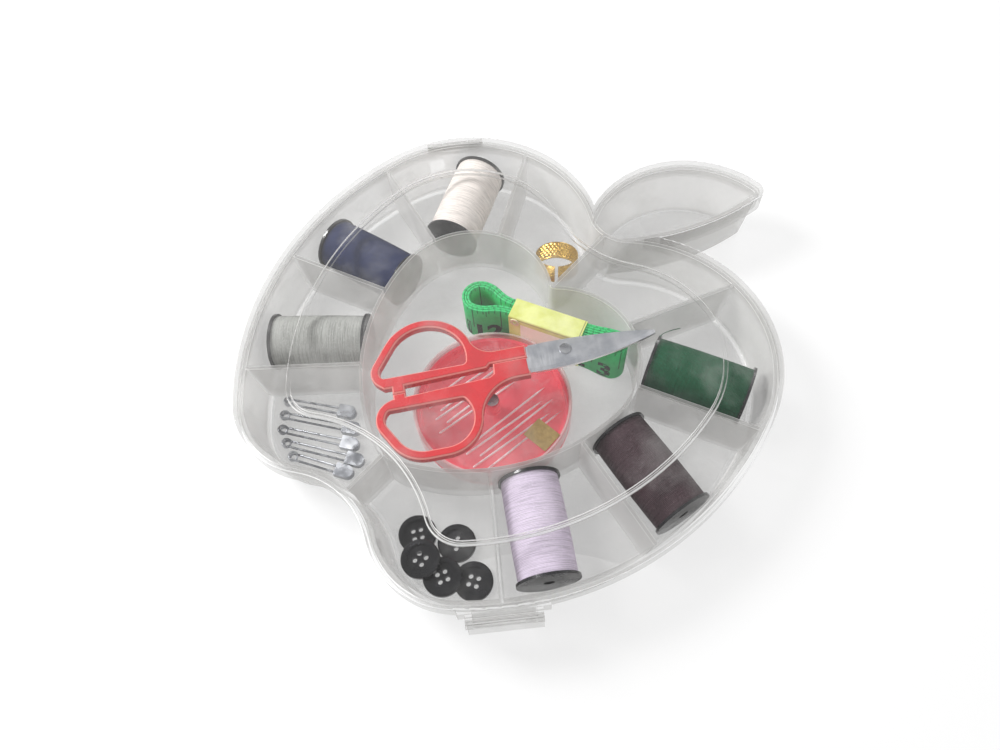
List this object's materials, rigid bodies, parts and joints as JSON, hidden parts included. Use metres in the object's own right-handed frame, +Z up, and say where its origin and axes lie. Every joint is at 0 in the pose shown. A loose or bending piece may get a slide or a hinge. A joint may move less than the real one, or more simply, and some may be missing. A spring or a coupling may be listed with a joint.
{
  "type": "sewing kit case",
  "caption": "Clear apple-shaped compartment case with a leaf dish, hinged lid and latch, holding thread, scissors, tape, needles, buttons and pins.",
  "frame": {"origin": "middle of the apple on the case's flat underside", "axes": "+Y towards the stem and leaf, +Z up through the lid, +X to the right with the stem pointing away"},
  "size_m": [0.1826, 0.1984, 0.0271],
  "materials": {
    "clear_plastic": "clear, glossy",
    "clear_pin": "clear, glossy",
    "black_plastic": "satin",
    "red_plastic": "glossy",
    "blade_steel": "brushed",
    "rivet_steel": "polished",
    "needle_steel": "polished",
    "crimson_clear": "clear, glossy",
    "gold_label": "printed foil",
    "green_tape": "satin cloth tape",
    "lime_sleeve": "printed paper",
    "gold_metal": "polished",
    "gray_thread": "wound thread",
    "navy_thread": "wound thread",
    "silver_thread": "wound thread",
    "green_thread": "wound thread",
    "maroon_thread": "wound thread",
    "lilac_thread": "wound thread"
  },
  "bodies": {
    "case": {"base_tray": "clear_plastic", "hinge_pin": "clear_pin", "gray_spool": "black_plastic", "gray_thread": "gray_thread", "navy_spool": "black_plastic", "navy_thread": "navy_thread", "silver_spool": "black_plastic", "silver_thread": "silver_thread", "green_spool": "black_plastic", "green_thread": "green_thread", "maroon_spool": "black_plastic", "maroon_thread": "maroon_thread", "lilac_spool": "black_plastic", "lilac_thread": "lilac_thread", "scissors_fixed_blade": "blade_steel", "scissors_fixed_handle": "red_plastic", "scissors_rivet": "rivet_steel", "needle_case_base": "crimson_clear", "needle_case_rivet": "rivet_steel", "needles": "needle_steel", "tape_measure": "green_tape", "tape_sleeve": "lime_sleeve", "tape_eyelet": "rivet_steel", "thimble": "gold_metal", "buttons": "black_plastic", "safety_pin_wires": "needle_steel", "safety_pin_caps": "needle_steel"},
    "lid": {"lid": "clear_plastic", "latch_pin": "clear_pin"},
    "latch": {"latch_flap": "clear_plastic"},
    "scissors_half": {"scissors_moving_blade": "blade_steel", "scissors_moving_handle": "red_plastic"},
    "needle_cover": {"needle_case_cover": "crimson_clear", "needle_case_label": "gold_label"}
  },
  "joints": [
    {"name": "lid_hinge", "type": "hinge", "parent": "case", "child": "lid", "pos_m": [-0.07792, 0.06602, 0.0168], "axis": [-0.6769, -0.7361, 0], "range_deg": [0, 170]},
    {"name": "latch_hinge", "type": "hinge", "parent": "lid", "child": "latch", "pos_m": [0.06392, -0.06219, 0.021], "axis": [-0.6769, -0.7361, 0], "range_deg": [0, 80]},
    {"name": "scissors_pivot", "type": "hinge", "parent": "case", "child": "scissors_half", "pos_m": [0.0206, 0.0176, 0.0238], "axis": [0, 0, -1], "range_deg": [0, 40]},
    {"name": "needle_cover_turn", "type": "hinge", "parent": "case", "child": "needle_cover", "pos_m": [0.0094, -0.0085, 0.0106], "axis": [0, 0, 1], "continuous": true}
  ]
}
